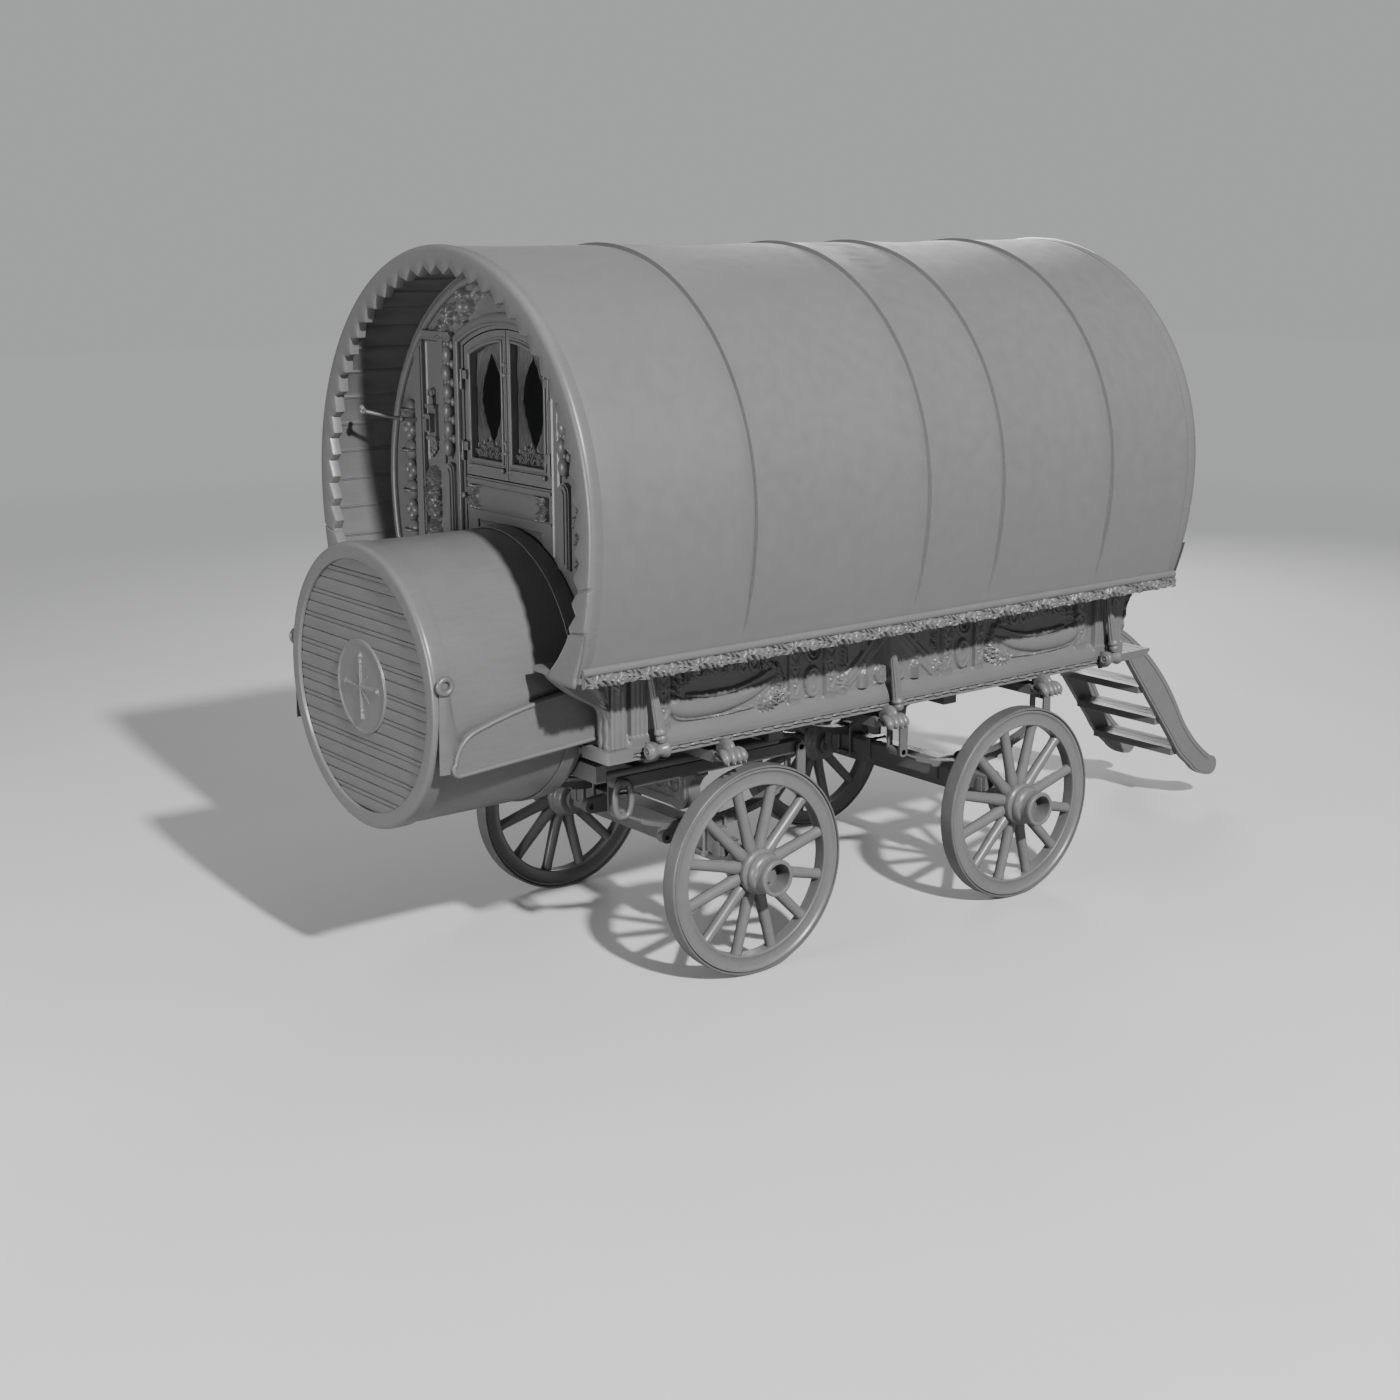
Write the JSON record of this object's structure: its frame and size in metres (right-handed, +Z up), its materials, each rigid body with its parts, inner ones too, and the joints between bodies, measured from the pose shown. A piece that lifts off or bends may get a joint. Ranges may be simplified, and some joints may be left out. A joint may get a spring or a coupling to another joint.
{
  "type": "bow-top living wagon",
  "caption": "Horse-drawn bow-top living wagon with canvas roof, carved eaves, glazed front casements, drum at the front, spoked wheels, steering fore-carriage and rear steps.",
  "frame": {"origin": "centre of the bounding box on the ground plane", "axes": "+Z up, -Y towards the front with the drum, +X towards the wagon's left side"},
  "size_m": [2.15, 5.3748, 3.1798],
  "materials": {
    "iron": "dull dark iron",
    "painted_wood": "satin paint over wood",
    "carved_wood": "satin paint over carving",
    "boards": "worn boards",
    "canvas": "matt woven canvas",
    "cloth": "matt curtain cloth",
    "glass": "clear"
  },
  "bodies": {
    "wagon_body": {"rear_axle": "iron", "rear_axle_bed": "painted_wood", "rear_springs": "iron", "rear_shackles": "iron", "spring_hangers": "iron", "turntable_ring": "iron", "underframe": "boards", "carved_feet": "carved_wood", "floor": "boards", "sill_mouldings": "carved_wood", "side_wall_left": "painted_wood", "side_wall_right": "painted_wood", "corner_posts": "carved_wood", "front_wall": "painted_wood", "rear_wall": "painted_wood", "porch_brackets": "carved_wood", "ledges": "painted_wood", "eaves_mouldings": "carved_wood", "struts": "carved_wood", "canvas_cover": "canvas", "roof_bows": "boards", "valances": "canvas", "drum_barrel": "boards", "drum_hoops": "iron", "drum_heads": "boards", "drum_medallion": "carved_wood", "drum_lugs": "iron", "drum_cheeks": "carved_wood", "rear_porch": "boards", "step_stringers": "carved_wood", "step_treads": "boards"},
    "front_left_wheel": {"front_left_tyre": "iron", "front_left_felloes": "painted_wood", "front_left_spoked_nave": "painted_wood"},
    "front_right_wheel": {"front_right_tyre": "iron", "front_right_felloes": "painted_wood", "front_right_spoked_nave": "painted_wood"},
    "rear_left_wheel": {"rear_left_tyre": "iron", "rear_left_felloes": "painted_wood", "rear_left_spoked_nave": "painted_wood"},
    "rear_right_wheel": {"rear_right_tyre": "iron", "rear_right_felloes": "painted_wood", "rear_right_spoked_nave": "painted_wood"},
    "fore_carriage": {"front_axle": "iron", "front_axle_bed": "painted_wood", "front_springs": "iron", "front_shackles": "iron", "fore_frame": "painted_wood", "front_bolster": "carved_wood", "lower_ring": "iron", "shaft_irons": "iron"},
    "front_door": {"front_door": "painted_wood"},
    "casement_left": {"casement_left": "painted_wood", "glass_left": "glass", "curtain_left": "cloth"},
    "casement_right": {"casement_right": "painted_wood", "glass_right": "glass", "curtain_right": "cloth"},
    "rear_door": {"rear_door": "painted_wood", "rear_glass": "glass"}
  },
  "joints": [
    {"name": "steering", "type": "hinge", "parent": "wagon_body", "child": "fore_carriage", "pos_m": [0, -1.1695, 0.942], "axis": [0, 0, 1], "range_deg": [-32, 32]},
    {"name": "front_left_roll", "type": "hinge", "parent": "fore_carriage", "child": "front_left_wheel", "pos_m": [0.753, -1.1695, 0.48], "axis": [1, 0, 0], "continuous": true},
    {"name": "front_right_roll", "type": "hinge", "parent": "fore_carriage", "child": "front_right_wheel", "pos_m": [-0.753, -1.1695, 0.48], "axis": [1, 0, 0], "continuous": true},
    {"name": "rear_left_roll", "type": "hinge", "parent": "wagon_body", "child": "rear_left_wheel", "pos_m": [0.753, 0.5105, 0.48], "axis": [1, 0, 0], "continuous": true},
    {"name": "rear_right_roll", "type": "hinge", "parent": "wagon_body", "child": "rear_right_wheel", "pos_m": [-0.753, 0.5105, 0.48], "axis": [1, 0, 0], "continuous": true},
    {"name": "front_door_swing", "type": "hinge", "parent": "wagon_body", "child": "front_door", "pos_m": [0.339, -1.8825, 1.6], "axis": [0, 0, -1], "range_deg": [0, 95]},
    {"name": "casement_left_swing", "type": "hinge", "parent": "wagon_body", "child": "casement_left", "pos_m": [0.339, -1.9415, 2.45], "axis": [0, 0, 1], "range_deg": [0, 95]},
    {"name": "casement_right_swing", "type": "hinge", "parent": "wagon_body", "child": "casement_right", "pos_m": [-0.339, -1.9415, 2.45], "axis": [0, 0, -1], "range_deg": [0, 95]},
    {"name": "rear_door_swing", "type": "hinge", "parent": "wagon_body", "child": "rear_door", "pos_m": [-0.339, 1.2725, 1.9], "axis": [0, 0, 1], "range_deg": [0, 100]}
  ]
}
